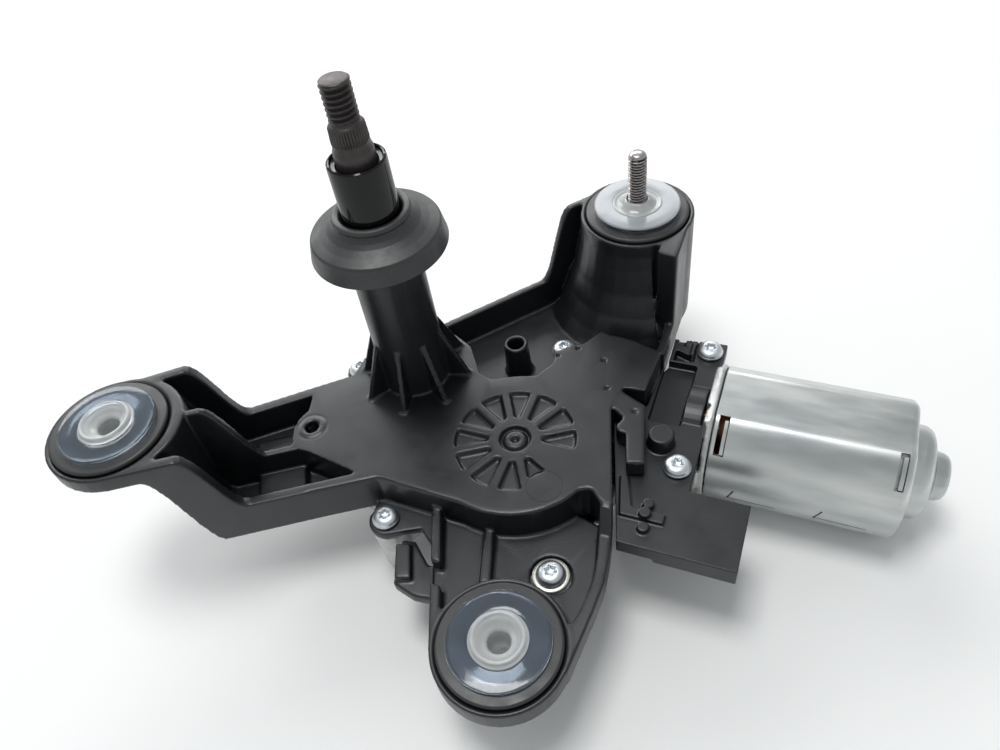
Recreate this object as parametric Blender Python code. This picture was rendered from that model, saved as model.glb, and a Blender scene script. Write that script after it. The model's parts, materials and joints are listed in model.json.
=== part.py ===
"""Rear wiper motor and gearbox on a three-point mounting bracket.

Lengths in this script are millimetres in the cover frame: the output shaft's axis is
X = Y = 0, the top face of the gear cover is Z = 0, and the motor lies along +X.
"""
import math

import bmesh
import bpy
from mathutils import Matrix, Vector

MM = 0.001
GAP = 0.3                        # clearance between neighbouring pieces

# ---- driving dimensions -------------------------------------------------------------------
WHEEL = (40.9, -17.4)            # worm wheel axis
MOTOR_Y, MOTOR_Z = 14.4, -16.6   # armature axis
FLOOR = -11.2                    # top of the bracket's base flange
BASE = -14.2                     # underside of the bracket
REST = -35.5                     # lowest face of the gear housing
WALL = 2.4                       # moulded wall thickness
ARM_WALL = 3.4                   # thickness of the left arm's outer walls

EYES = {"left": (-62.8, -63.0, 25.5), "rear": (57.4, 63.2, 27.0), "front": (57.5, -76.2, -6.0)}
EYE_RING, EYE_BORE, EYE_LIP = 18.5, 16.3, 12.6
EYE_DEPTH, LIP_DEPTH = 5.5, 3.5  # height of an eye ring, depth of its lip below the rim

SHAFT_R, SHAFT_TIP = 5.4, 102.6
TUBE_TOP, SLEEVE_TOP = 57.0, 81.0
CAN_R, CAN_FLAT = 20.8, 18.6     # radius of the rolled can, half height over its flats
CAN_START, CAN_END = 96.0, 150.5

WHEEL_TEETH, WHEEL_PITCH = 44, 28.6
WORM_PITCH = math.hypot(0, MOTOR_Y - WHEEL[1]) - WHEEL_PITCH
TOOTH = 2 * math.pi * WHEEL_PITCH / WHEEL_TEETH
PINION_R, SECTOR_R = 8.0, 12.0   # pitch radii of the output gear pair
GUIDE = PINION_R + SECTOR_R
GUIDE_ANGLE = math.radians(-86.35)
CRANK_R = 8.1

# Room for the links under the cover, from behind the shaft round to the wheel.
LINK_ROOM = [(-11.5, 10.5), (-17.5, -6), (-17.5, -33), (-12, -36.5), (4, -39.4), (34, -39.6), (41, 5.5),
             (27, 1.0), (19.5, 2.2), (12.5, 11)]
HOUSING_FLANGE = [(-29.5, 7.0), (-24.0, 9.6), (-11, 14.0), (12, 14.5), (20, 22.4), (34.4, 24), (34.9, 32.4),
                  (37.2, 35.8), (43.7, 35.8), (45.7, 32.4), (47, 24.6), (75.5, 24.2), (75.5, 4), (69.6, -4),
                  (73.6, -17.4), (70.5, -36), (69, -54), (65.5, -57), (60, -57), (55.5, -50), (40, -50),
                  (15.6, -46.6), (14, -52.6), (9.4, -54.2), (4.6, -51), (2.4, -42.5), (-13, -39.6),
                  (-20.6, -34.6), (-20.6, -5), (-30.6, 1.0)]
CARD_TOP = -6.5                  # face of the brush card and connector moulding
SCREWS = {                       # x, y and the face that the head seats on
    "cover_screw_front_left": (9.9, -48.6, FLOOR),
    "cover_screw_front_right": (62.9, -51.7, FLOOR),
    "cover_screw_rear": (40.4, 30.6, FLOOR),
    "cover_screw_left": (-26.0, 4.0, FLOOR),
    "motor_screw_rear": (88.6, 37.6, CARD_TOP),
    "motor_screw_front": (88.4, -10.4, CARD_TOP),
}

# The part stands on REST with its bounding box centred on the origin.
CENTRE = (40.35, -6.5)


# ---- scene, materials and small tools -----------------------------------------------------
def clear_scene():
    for old in list(bpy.data.objects):
        bpy.data.objects.remove(old, do_unlink=True)


def material(name, colour, roughness, metallic=0.0):
    mat = bpy.data.materials.new(name)
    mat.use_nodes = True
    shader = mat.node_tree.nodes["Principled BSDF"]
    shader.inputs["Base Color"].default_value = (*colour, 1.0)
    shader.inputs["Roughness"].default_value = roughness
    shader.inputs["Metallic"].default_value = metallic
    return mat


def arc(centre, radius, start, end, steps):
    """Points along an arc, angles in degrees."""
    points = []
    for i in range(steps + 1):
        angle = math.radians(start + (end - start) * i / steps)
        points.append((centre[0] + radius * math.cos(angle), centre[1] + radius * math.sin(angle)))
    return points


def circle(centre, radius, steps=24):
    return arc(centre, radius, 0, 360 * (steps - 1) / steps, steps - 1)


def box(x0, x1, y0, y1):
    return [(x0, y0), (x1, y0), (x1, y1), (x0, y1)]


def rounded(points, radius, steps=3):
    """An outline with each corner replaced by an arc."""
    result = []
    for i, here in enumerate(points):
        p = Vector(here)
        a = (Vector(points[i - 1]) - p)
        b = (Vector(points[(i + 1) % len(points)]) - p)
        half = a.angle(b) / 2
        reach = min(radius / math.tan(half), 0.45 * a.length, 0.45 * b.length)
        a.normalize()
        b.normalize()
        for k in range(steps + 1):
            t = k / steps
            start, end = p + a * reach, p + b * reach
            result.append(tuple(start * (1 - t) ** 2 + p * 2 * t * (1 - t) + end * t * t))
    return result


def prism(points, low, high):
    """A straight-sided solid over an outline in XY."""
    bm = bmesh.new()
    bottom = [bm.verts.new((x * MM, y * MM, low * MM)) for x, y in points]
    top = [bm.verts.new((x * MM, y * MM, high * MM)) for x, y in points]
    bm.faces.new(bottom)
    bm.faces.new(top)
    for i in range(len(points)):
        j = (i + 1) % len(points)
        bm.faces.new((bottom[i], bottom[j], top[j], top[i]))
    bmesh.ops.recalc_face_normals(bm, faces=bm.faces)
    return bm


def turned(profile, steps=32):
    """A solid of revolution about Z from a closed (radius, z) profile."""
    bm = bmesh.new()
    rings = []
    for r, z in profile:
        if r == 0:
            rings.append([bm.verts.new((0, 0, z * MM))] * steps)
            continue
        ring = []
        for k in range(steps):
            angle = 2 * math.pi * k / steps
            ring.append(bm.verts.new((r * MM * math.cos(angle), r * MM * math.sin(angle), z * MM)))
        rings.append(ring)
    for i in range(len(rings)):
        first, second = rings[i], rings[(i + 1) % len(rings)]
        for k in range(steps):
            corners = [first[k], first[(k + 1) % steps], second[(k + 1) % steps], second[k]]
            corners = list(dict.fromkeys(corners))
            if len(corners) > 2:
                bm.faces.new(corners)
    bmesh.ops.recalc_face_normals(bm, faces=bm.faces)
    return bm


def swept_strip(stations):
    """A solid through sections given as (near xy, far xy, low z, high z)."""
    bm = bmesh.new()
    loops = []
    for near, far, low, high in stations:
        corners = [(*near, low), (*near, high), (*far, high), (*far, low)]
        loops.append([bm.verts.new(Vector(c) * MM) for c in corners])
    for one, two in zip(loops, loops[1:]):
        for k in range(4):
            bm.faces.new((one[k], one[(k + 1) % 4], two[(k + 1) % 4], two[k]))
    bm.faces.new(loops[0])
    bm.faces.new(loops[-1])
    bmesh.ops.triangulate(bm, faces=bm.faces)
    bmesh.ops.recalc_face_normals(bm, faces=bm.faces)
    return bm


def moved(bm, x=0.0, y=0.0, z=0.0, turn=None, axis="Z"):
    if turn is not None:
        bmesh.ops.rotate(bm, verts=bm.verts, matrix=Matrix.Rotation(math.radians(turn), 3, axis))
    bmesh.ops.translate(bm, verts=bm.verts, vec=Vector((x, y, z)) * MM)
    return bm


def along_x(bm, x=0.0):
    """Lay a solid made about Z along the armature axis, its Z = 0 at the given X."""
    bmesh.ops.rotate(bm, verts=bm.verts, matrix=Matrix.Rotation(math.radians(90), 3, "Y"))
    return moved(bm, x, MOTOR_Y, MOTOR_Z)


def node(name, bm, mat, pivot=(0.0, 0.0, 0.0)):
    """An object from a solid in the cover frame, with its origin at the pivot."""
    bmesh.ops.translate(bm, verts=bm.verts, vec=Vector(pivot) * -MM)
    mesh = bpy.data.meshes.new(name)
    bm.to_mesh(mesh)
    bm.free()
    mesh.shade_smooth()
    mesh.set_sharp_from_angle(angle=math.radians(32))
    obj = bpy.data.objects.new(name, mesh)
    bpy.context.scene.collection.objects.link(obj)
    if mat is not None:
        obj.data.materials.append(mat)
    obj.parent = frame
    obj.location = Vector(pivot) * MM
    return obj


def boolean(obj, tools, operation):
    """Join the tools to the object or cut them from it, and drop them."""
    helpers = [node("tool", tool, None) for tool in tools]
    for helper in helpers:
        mod = obj.modifiers.new(operation.lower(), "BOOLEAN")
        mod.operation = operation
        mod.solver = "EXACT"
        mod.object = helper
    depsgraph = bpy.context.evaluated_depsgraph_get()
    mesh = bpy.data.meshes.new_from_object(obj.evaluated_get(depsgraph))
    obj.modifiers.clear()
    obj.data = mesh
    for helper in helpers:
        bpy.data.objects.remove(helper, do_unlink=True)
    tidy(obj)


def tidy(obj):
    """Weld slivers and make flat faces whole again after a cut."""
    bm = bmesh.new()
    bm.from_mesh(obj.data)
    bmesh.ops.remove_doubles(bm, verts=bm.verts, dist=0.00001)
    bmesh.ops.dissolve_degenerate(bm, edges=bm.edges, dist=0.00001)
    bmesh.ops.dissolve_limit(bm, angle_limit=math.radians(0.5), verts=bm.verts, edges=bm.edges)
    bmesh.ops.triangulate(bm, faces=[f for f in bm.faces if len(f.verts) > 4])
    bm.to_mesh(obj.data)
    bm.free()
    obj.data.shade_smooth()
    obj.data.set_sharp_from_angle(angle=math.radians(32))


# ---- mounting bracket ---------------------------------------------------------------------
ARM_S = Vector((-0.850, -0.527))     # along the left arm, away from the shaft
ARM_T = Vector((-0.527, 0.850))      # across it
ARM_NEAR, ARM_RIB = -39.0, -20.5     # front wall and centre rib, measured across the arm


def arm(s, t):
    return tuple(ARM_S * s + ARM_T * t)


def arm_far(s):
    return 7.2 - 0.122 * s


def ramp(value, points):
    """Piecewise straight interpolation through (position, height) points."""
    for (a, za), (b, zb) in zip(points, points[1:]):
        if value <= b:
            return za + (zb - za) * max(0.0, value - a) / (b - a)
    return points[-1][1]


def eased(value, points, reach=2.2):
    """The same heights with each corner rounded over a short reach."""
    samples = [ramp(value + reach * k / 4, points) for k in range(-4, 5)]
    return sum(samples) / len(samples)


def arm_strip(stations, near, far, low, high):
    sections = []
    for s in stations:
        sections.append((arm(s, near(s)), arm(s, far(s)), eased(s, low), eased(s, high)))
    return swept_strip(sections)


def deck_outline():
    """The raised gear cover, from its front left corner round to the left arm."""
    wheel_edge = arc(WHEEL, 26.8, -105, -27, 12)
    right = [(67.7, -28.3), (70.8, -31.4), (74.9, -31.4), (65.0, 3.0), (66.9, 10.4), (73.6, 10.8),
             (74.6, 28.2), (63.7, 31.4), (56.5, 31.8), (53.6, 32.8), (49.2, 25.6), (46.2, 24.4)]
    rear = [(41.2, 19.4), (42.2, 16.3), (42.0, 14.4), (38.7, 8.4), (32.3, 6.3), (25.1, 3.2), (20.7, 4.6),
            (17.8, 8.8), (13.2, 15.2), (6.7, 18.6), (-1.3, 21.9)]
    spindle_back = [(-10.5, 18.6), (-17.5, 11.0), (-20.2, 1.0)]
    left = [arm(21.0, arm_far(21.0)), arm(36.0, arm_far(36.0)), arm(36.0, ARM_NEAR), (6.5, -42.2)]
    return wheel_edge + right + rear + spindle_back + left


def left_arm(bracket):
    """A ramped channel with a centre rib, rising to the left eye."""
    top = [(30, 0.0), (57.6, 0.0), (64.6, 25.5), (90, 25.5)]
    under = [(30, BASE), (69, BASE), (76, 20.0), (90, 20.0)]
    stations = [30, 55, 56.5, 58, 59.5, 61.1, 62.7, 64, 65.4, 67, 68.4, 69.8, 71.2, 73.8, 75, 76.2, 77.4,
                78.6, 87]
    body = arm_strip(stations, lambda s: ARM_NEAR, arm_far, under, top)
    boolean(bracket, [body], "UNION")

    floor = [(20, FLOOR), (65.6, FLOOR), (71.4, 21.6), (80, 23.0)]
    open_top = [(20, 40), (90, 40)]
    inside = [63, 64.6, 66, 67.6, 69.4, 71, 72.4, 74, 80]
    near = arm_strip([40] + inside, lambda s: ARM_NEAR + ARM_WALL, lambda s: ARM_RIB - 1.2, floor, open_top)
    corner = prism([arm(40.5, ARM_RIB - 1.2), arm(38, ARM_RIB - 2.5), arm(23, ARM_NEAR + ARM_WALL),
                    arm(40.5, ARM_NEAR + ARM_WALL)], FLOOR, 5)
    far = arm_strip([42] + inside, lambda s: ARM_RIB + 1.2, lambda s: arm_far(s) - ARM_WALL, floor,
                    open_top)
    boss_edge = prism([arm(42.5, ARM_RIB + 1.2), arm(41.5, -13.5), arm(39.8, -9.6), arm(36.5, -6.5),
                       arm(35, arm_far(35) - ARM_WALL), arm(42.5, arm_far(42.5) - ARM_WALL)], FLOOR, 5)
    boolean(bracket, [near, corner, far, boss_edge], "DIFFERENCE")

    rib_top = [(38, -0.4), (51.5, -0.4), (59.0, 25.0), (80, 25.0)]
    rib_under = [(38, BASE + 1), (66, BASE + 1), (73, 17.0), (80, 21.0)]
    rib_stations = [38, 49, 50.6, 52.2, 53.8, 56.6, 58.2, 59.8, 61.4, 66, 73, 80]
    rib = arm_strip(rib_stations, lambda s: ARM_RIB - 1.1, lambda s: ARM_RIB + 1.1, rib_under, rib_top)
    boolean(bracket, [rib], "UNION")


TOWER_START = Vector((-1.3, 21.9))              # outer corner where the rear wall leaves the cover
TOWER_ALONG, TOWER_OUT = Vector((0.660, 0.751)), Vector((-0.751, 0.660))


def flared(levels, wall_gap):
    """The tower's front, wider towards its foot and held inside the rear wall."""
    centre = Vector(EYES["rear"][:2])
    reach = -TOWER_OUT.dot(centre - TOWER_START) - wall_gap
    bm = bmesh.new()
    rings = []
    for z, radius in levels:
        ring = [bm.verts.new(Vector((*centre, z)) * MM)]
        for degrees in range(156, 301, 12):
            a = math.radians(degrees)
            ray = Vector((math.cos(a), math.sin(a)))
            limit = reach / max(TOWER_OUT.dot(ray), 0.01)
            point = centre + ray * min(radius, limit)
            ring.append(bm.verts.new(Vector((*point, z)) * MM))
        rings.append(ring)
    for one, two in zip(rings, rings[1:]):
        count = len(one)
        for k in range(count):
            bm.faces.new((one[k], one[(k + 1) % count], two[(k + 1) % count], two[k]))
    bm.faces.new(rings[0])
    bm.faces.new(rings[-1])
    bmesh.ops.triangulate(bm, faces=bm.faces)
    bmesh.ops.recalc_face_normals(bm, faces=bm.faces)
    return bm


def rear_tower(bracket):
    """The base flange behind the cover, its wall, and the tall flared tower under the rear eye."""
    cx, cy, rim = EYES["rear"]
    top = [(0, 0.0), (42.6, 0.0), (51, rim), (80, rim)]
    sections = []
    for d in (0, 40.4, 41.8, 43.4, 45.2, 48.4, 50, 51.6, 53.2, 69):
        outer = TOWER_START + TOWER_ALONG * d
        sections.append((tuple(outer - TOWER_OUT * WALL), tuple(outer), BASE, eased(d, top)))
    wall = swept_strip(sections)
    flange = prism([(-1.3, 21.2), (6, 5), (58, 4), (64, 10.6), (73.3, 11.1), (74.3, 28), (75.0, 32),
                    (75.0, 63), (57, 70), (44.0, 72.5)], BASE, FLOOR)
    tower = prism(circle((cx, cy), EYE_RING, 40), BASE, rim)
    foot = flared([(BASE + 0.05, 31.0), (FLOOR + 0.1, 30.8), (-6, 27.0), (0, 23.8), (8, 21.0), (17, 19.2),
                   (25, 18.2)], 1.2)
    corner_web = prism(rounded([(68.7, 44.2), (75.2, 43.2), (75.2, 64), (68.7, 60)], 1.2), BASE + 0.1, rim)
    side = swept_strip([((72.8, 45), (75.2, 45), BASE + 0.1, -2.0), ((72.5, 29), (75.2, 29), BASE + 0.1, -2.0)])
    boolean(bracket, [flange, wall, tower, foot, corner_web, side], "UNION")
    hollow = flared([(BASE - 1, 28.0), (-8, 24.6), (-1, 20.8), (8, 17.8), (17, 15.0)], 4.0)
    boolean(bracket, [hollow], "DIFFERENCE")


def front_lobe(bracket):
    """The low lobe with the front eye, its rims, ribs and screw ear."""
    cx, cy, rim = EYES["front"]
    outline = [(23.8, -40), (29.6, -54.0), (41.2, -83.0), (57.5, -79), (75.2, -77), (77.0, -56),
               (76.4, -42.7), (73.0, -33.0), (60, -30)]
    floor = prism(outline, BASE, FLOOR)
    ear = prism([(4.9, -40.2), *arc((9.9, -48.6), 5.4, 190, 300, 6), (17.5, -50.6), (21.5, -48.6),
                 (29.0, -54.5), (30.5, -40.2)], BASE + 0.1, FLOOR - 0.1)
    low, high = BASE + 0.7, rim - 0.12
    left_rim = swept_strip([((22.9, -41.4), (25.9, -41.4), low, high),
                            ((40.4, -83.4), (43.2, -82.4), low, high)])
    right_rim = swept_strip([((73.4, -28.0), (70.2, -28.0), low, -0.12),
                             ((75.2, -33.0), (71.6, -33.0), low, -0.12),
                             ((76.4, -38.0), (72.6, -38.0), low, high),
                             ((77.6, -45.0), (74.2, -45.0), low, high),
                             ((78.3, -52.0), (75.1, -51.5), low, high),
                             ((77.9, -60.0), (74.6, -60.0), low, high),
                             ((76.2, -78.0), (70.6, -78.0), low, high)])
    rib = prism([(39.8, -41.6), (42.6, -41.6), (48.2, -59.5), (45.3, -61)], BASE + 1.3, -8.6)
    eye = prism(circle((cx, cy), EYE_RING, 40), BASE + 1.0, rim)
    boolean(bracket, [floor, ear, left_rim, right_rim, rib, eye], "UNION")


def cable_hook(bracket):
    """A block on a low web beside the lobe; the cable runs behind it and over a notch in the rim."""
    web = prism([(17.0, -53.0), (21.0, -52.2), (27.6, -58.0), (31.5, -58.2), (36.0, -67.4), (27.6, -68.4),
                 (20.6, -66.6)], -16.6, -12.7)
    block = prism([(16.5, -55.6), (20.7, -54.3), (25.4, -64.3), (20.9, -65.7)], -16.9, -10.8)
    boolean(bracket, [web, block], "UNION")
    notch = prism([(27.0, -59.6), (33.6, -59.6), (36.4, -65.8), (29.8, -65.8)], -11.05, 0)
    boolean(bracket, [notch], "DIFFERENCE")


def open_eyes(bracket):
    """The three bores, each with the lip that its rubber grommet grips."""
    x, y, rim = EYES["left"]
    ring = prism(circle((x, y), EYE_RING, 40), rim - EYE_DEPTH, rim)
    inner_side = Vector((x, y)) - ARM_S * 2.5
    web = prism(circle(inner_side, EYE_RING, 40), rim - EYE_DEPTH + 0.4, rim - 0.05)
    shelf_edge = arc(inner_side, EYE_RING - 0.1, 31.8 - 40, 31.8 + 40, 10)
    shelf = prism(shelf_edge, 0.0, rim - 0.6)
    boolean(bracket, [ring, web, shelf], "UNION")
    cuts = []
    for x, y, rim in EYES.values():
        cuts.append(prism(circle((x, y), EYE_BORE, 40), rim - LIP_DEPTH, rim + 20))
        cuts.append(prism(circle((x, y), EYE_LIP, 32), rim - 20, rim + 1))
        below = rim - 9 if rim == EYES["left"][2] else BASE - 20
        cuts.append(prism(circle((x, y), EYE_BORE - 0.7, 36), below, rim - EYE_DEPTH))
    boolean(bracket, cuts, "DIFFERENCE")


def spindle_tube(bracket):
    """The tall tube that carries the output shaft, with eight foot ribs."""
    tube = turned([(0, -8), (11.2, -8), (10.9, 0), (10.4, TUBE_TOP), (0, TUBE_TOP)], 36)
    solids = [tube]
    for k in range(8):
        blade = prism([(8, -2), (18.1, -2), (18.1, 0.6), (11.0, 19.5), (8, 19.5)], -0.9, 0.9)
        bmesh.ops.rotate(blade, verts=blade.verts, matrix=Matrix.Rotation(math.radians(90), 3, "X"))
        solids.append(moved(blade, turn=45 * k + 12))
    boolean(bracket, solids, "UNION")
    boolean(bracket, [turned([(0, -20), (8.15, -20), (8.15, TUBE_TOP + 1), (0, TUBE_TOP + 1)], 32)],
            "DIFFERENCE")


def cover_details(bracket):
    """The post, the boss, the tongue over the card and the round of wedge pockets."""
    post = turned([(2.7, FLOOR - 1), (4.6, FLOOR - 1), (3.9, 2.0), (2.7, 2.0)], 20)
    tongue = prism([(63.5, 3.4), (69.6, -0.8), (68.9, -4.2), (70.4, -5.6), (71.4, -4.6), (74.8, -17.0),
                    (80.0, -15.7), (74.9, 5.4), (66.0, 9.6)], CARD_TOP + GAP, -0.08)
    boolean(bracket, [moved(post, 28.3, 18.5), tongue], "UNION")
    cuts = [moved(turned([(0, -30), (2.3, -30), (2.3, 1), (0, 1)], 16), -23.1, -30.7)]
    for k in range(12):
        if k in (9, 10):
            continue
        angle = 30 * k + 14
        inner = arc((0, 0), 8.0, angle - 7, angle + 7, 1)
        outer = arc((0, 0), 18.4, angle + 10.5, angle - 10.5, 3)
        cuts.append(moved(prism(inner + outer, -1.0, 1.0), *WHEEL))
    cuts.append(moved(turned([(0, -1.2), (4.4, -1.2), (4.4, 1), (0, 1)], 20), *WHEEL))
    boolean(bracket, cuts, "DIFFERENCE")


def gear_cavity(bracket):
    """The hollow under the cover for the wheel, the links, the output pinion and the worm."""
    wheel = prism(circle(WHEEL, 24.2, 32), BASE - 1, -2.5)
    links = prism(rounded(LINK_ROOM, 4, 3), BASE - 1, -2.56)
    worm = prism(box(44.6, 63.8, 2, 21.6), BASE - 1, -2.44)
    worm_end = prism(box(23.2, 46.0, MOTOR_Y - 4.4, MOTOR_Y + 4.4), BASE - 1, -12.3)
    neck = prism(box(60, 72, 8, 21.6), BASE - 1, -6.0)
    groove = prism(box(71, 78, MOTOR_Y - 4, MOTOR_Y + 4), BASE - 1, -12.9)
    shaft = prism(circle((0, 0), 8.15, 32), -12, -1)
    boolean(bracket, [wheel, links, worm, worm_end, neck, groove, shaft], "DIFFERENCE")
    holes = []
    for name, (x, y, seat) in SCREWS.items():
        if name.startswith("cover_screw"):
            clearance = 5.9 if name == "cover_screw_front_right" else 2.4
            holes.append(prism(circle((x, y), clearance, 20), BASE - 2, seat + 2))
    boolean(bracket, holes, "DIFFERENCE")


def make_bracket():
    bracket = node("mounting_bracket", prism(deck_outline(), BASE, 0), PLASTIC)
    left_arm(bracket)
    rear_tower(bracket)
    front_lobe(bracket)
    lug = prism([*arc(SCREWS["cover_screw_left"][:2], 5.2, 60, 250, 6), (-17, -5), (-13, 9)],
                BASE + 0.15, FLOOR)
    boolean(bracket, [lug], "UNION")
    cable_hook(bracket)
    spindle_tube(bracket)
    open_eyes(bracket)
    cover_details(bracket)
    gear_cavity(bracket)
    return bracket


# ---- gear housing -------------------------------------------------------------------------
def make_housing():
    """The die-cast tub: wheel pocket, worm tunnel, commutator chamber and screw bosses."""
    top = BASE - GAP
    low_top = -11.8                                   # seat of the card at the motor end
    room = [(-14.2, 12.5), (-20.0, -4), (-20.0, -35), (-12, -39), (5, -43), (36, -43), (50, 8.5),
            (27, 4.0), (20.5, 5.2), (14.5, 13.5)]
    housing = node("gear_housing", prism(rounded(room, 4, 2), -22.5, top), ALUMINIUM)
    deep = prism(circle(WHEEL, 32.6, 48), REST, top - 0.06)
    tunnel = prism(box(21.5, 77, 3, 22.4), -25.5, top - 0.12)
    barrel = along_x(prism(can_outline(20.4, 18.7), 0, 18.3), 76.3)
    crown = prism(box(76, 93.8, -30, 60), low_top, 20)
    lugs = prism(rounded(box(80.2, 93.1, -16.2, 42.4), 3, 2), -20, low_top - 0.05)
    face = along_x(prism(can_outline(CAN_R + 0.4, CAN_FLAT + 0.2), 0, 1.9), 93.8)
    boolean(housing, [deep, tunnel, barrel], "UNION")
    boolean(housing, [crown], "DIFFERENCE")
    bosses = []
    for name, (x, y, seat) in SCREWS.items():
        if name.startswith("cover_screw"):
            raised = seat - 0.02 if name == "cover_screw_front_right" else top - 0.18
            bosses.append(moved(turned([(0, -33), (4.4, -33), (5.3, raised), (0, raised)], 24), x, y))
    plate = prism(rounded(HOUSING_FLANGE, 3, 2), -17.6, top - 0.24)
    webs = [prism([(7.6, -47), (12.2, -47), (17, -40), (11, -40)], -28, -17.0),
            prism([(60, -50), (65, -50), (62, -40), (57, -42)], -30, -17.0),
            prism([(38.2, 31.4), (42.7, 31.4), (42.7, 18), (38.2, 18)], -24, -17.0),
            prism([(-26.5, 1.6), (-25.5, 6.4), (-10, 5), (-12, -2)], -22, -17.0)]
    boolean(housing, [lugs, face, plate] + bosses + webs, "UNION")
    pocket = prism(circle(WHEEL, 30.3, 44), -33.0, 0)
    links = prism(rounded(LINK_ROOM, 4, 3), -20.4, 0)
    worm = along_x(turned([(0, 0), (4.5, 0), (4.5, 56), (0, 56)], 24), 23.5)
    bearing = along_x(turned([(0, 0), (5.1, 0), (5.1, 8), (0, 8)], 24), 76.2)
    chamber = along_x(turned([(0, 0), (16.6, 0), (16.6, 20), (0, 20)], 36), 80.6)
    boolean(housing, [pocket, links, worm, bearing, chamber], "DIFFERENCE")
    boss = moved(turned([(0, -34), (6.5, -34), (5.6, -20.6), (0, -20.6)], 24), *WHEEL)
    boolean(housing, [boss], "UNION")
    holes = [moved(turned([(0, -34.2), (2.5, -34.2), (2.5, 0), (0, 0)], 16), *WHEEL)]
    for x, y, seat in SCREWS.values():
        holes.append(moved(turned([(0, seat - 14), (2.4, seat - 14), (2.4, 0), (0, 0)], 16), x, y))
    boolean(housing, holes, "DIFFERENCE")


def can_outline(radius, flat):
    """A circle about the armature axis cut by two flats, in the plane that along_x lays flat."""
    half = math.degrees(math.acos(flat / radius))
    front = arc((0, 0), radius, half, 180 - half, 14)
    back = arc((0, 0), radius, 180 + half, 360 - half, 14)
    return front + back


# ---- spindle ------------------------------------------------------------------------------
def make_spindle():
    shaft = [(0, -14.6), (3.0, -14.6), (3.0, -12.0), (SHAFT_R, -11.9), (SHAFT_R, 83.6), (5.1, 84.2),
             (4.4, 91), (3.4, 91.4), (3.4, 92.2), (4.0, 92.8), (4.0, 101.6), (3.3, SHAFT_TIP), (0, SHAFT_TIP)]
    node("output_shaft", turned(shaft, 28), DARK_STEEL)
    sleeve = [(6.9, 1.0), (7.85, 1.0), (7.85, SLEEVE_TOP - 0.8), (7.5, SLEEVE_TOP), (6.7, SLEEVE_TOP),
              (6.25, SLEEVE_TOP - 0.6), (6.25, SLEEVE_TOP - 1.4), (6.9, SLEEVE_TOP - 1.5)]
    node("spindle_sleeve", turned(sleeve, 36), GLOSS)
    node("upper_shaft_bush", turned([(5.7, 58), (6.6, 58), (6.6, 76.2), (5.7, 76.2)], 28), BRONZE)
    node("lower_shaft_bush", turned([(5.7, 3), (6.6, 3), (6.6, 22), (5.7, 22)], 28), BRONZE)
    seal = [(5.7, 76.5), (6.6, 76.5), (6.6, 79.1), (6.2, 79.1), (5.7, 78.4)]
    node("shaft_seal", turned(seal, 28), RUBBER)
    collar = [(8.15, 57.3), (10.8, 57.3), (10.8, 50.0), (12.6, 50.0), (18.6, 52.2), (19.5, 52.7),
              (19.6, 53.4), (18.0, 58.9), (17.4, 59.5), (13.2, 61.6), (10.6, 63.3), (10.4, 64.6),
              (9.9, 65.2), (8.8, 65.2), (8.15, 64.4)]
    node("sealing_collar", turned(collar, 32), RUBBER)
    node("thrust_washer", turned([(5.7, -0.6), (7.8, -0.6), (7.8, 0.7), (5.7, 0.7)], 24), STEEL)


# ---- output gear pair and links -----------------------------------------------------------
def toothed(radius, count, start, number, addendum, dedendum, thickness, taper):
    """Outline points of gear teeth, the first tooth centred on start degrees."""
    points = []
    half = math.degrees(thickness / 2 / radius)
    slope = math.degrees(taper / radius)
    for i in range(number):
        middle = start + 360 / count * i
        for r, offset in ((radius - dedendum, -half - slope), (radius + addendum, -half + slope),
                          (radius + addendum, half - slope), (radius - dedendum, half + slope)):
            angle = math.radians(middle + offset)
            points.append((r * math.cos(angle), r * math.sin(angle)))
    return points


def make_output_gears():
    to_pin = math.degrees(GUIDE_ANGLE)
    teeth = toothed(PINION_R, 16, to_pin, 16, 0.72, 1.05, 1.12, 0.26)
    pinion = node("output_pinion", prism(teeth, -11.3, -4.6), STEEL)
    boolean(pinion, [prism(circle((0, 0), 7.3, 24), -5.5, -0.9)], "UNION")
    boolean(pinion, [prism(circle((0, 0), 5.7, 28), -13, 1)], "DIFFERENCE")

    pin = (GUIDE * math.cos(GUIDE_ANGLE), GUIDE * math.sin(GUIDE_ANGLE))
    guide = node("guide_link", prism(circle((0, 0), 6.6, 24), -14.0, -12.3), STEEL)
    bar = moved(prism(rounded(box(-2, GUIDE + 1, -4.6, 4.6), 1, 2), -13.95, -12.35), turn=to_pin)
    end = prism(circle(pin, 5.6, 20), -13.98, -12.32)
    boolean(guide, [bar, end], "UNION")
    boolean(guide, [prism(circle((0, 0), 3.3, 20), -16, -10), prism(circle(pin, 3.0, 20), -16, -10)],
            "DIFFERENCE")
    node("guide_link_pin", moved(turned([(0, -13.9), (2.7, -13.9), (2.7, -4.0), (2.3, -3.6), (0, -3.6)], 20),
                                 *pin), STEEL, (*pin, 0))

    to_shaft = to_pin + 180
    fan = toothed(SECTOR_R, 24, to_shaft - 37.5, 6, 0.72, 1.05, 1.12, 0.26)
    fan += arc((0, 0), 5.8, to_shaft + 70, to_shaft + 290, 10)
    link = node("sector_link", moved(prism(fan, -11.3, -5.0), *pin), STEEL, (*pin, 0))
    crank = crank_pin_place()
    run = Vector(crank) - Vector(pin)
    rod = prism(box(3, run.length, -3.6, 3.6), -11.25, -7.6)
    rod = moved(rod, *pin, turn=math.degrees(math.atan2(run.y, run.x)))
    tools = [rod, prism(circle(crank, 6.2, 24), -11.22, -7.5)]
    boolean(link, tools, "UNION")
    bores = [prism(circle(pin, 3.0, 20), -20, 0), prism(circle(crank, 3.4, 20), -20, 0)]
    boolean(link, bores, "DIFFERENCE")


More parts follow.
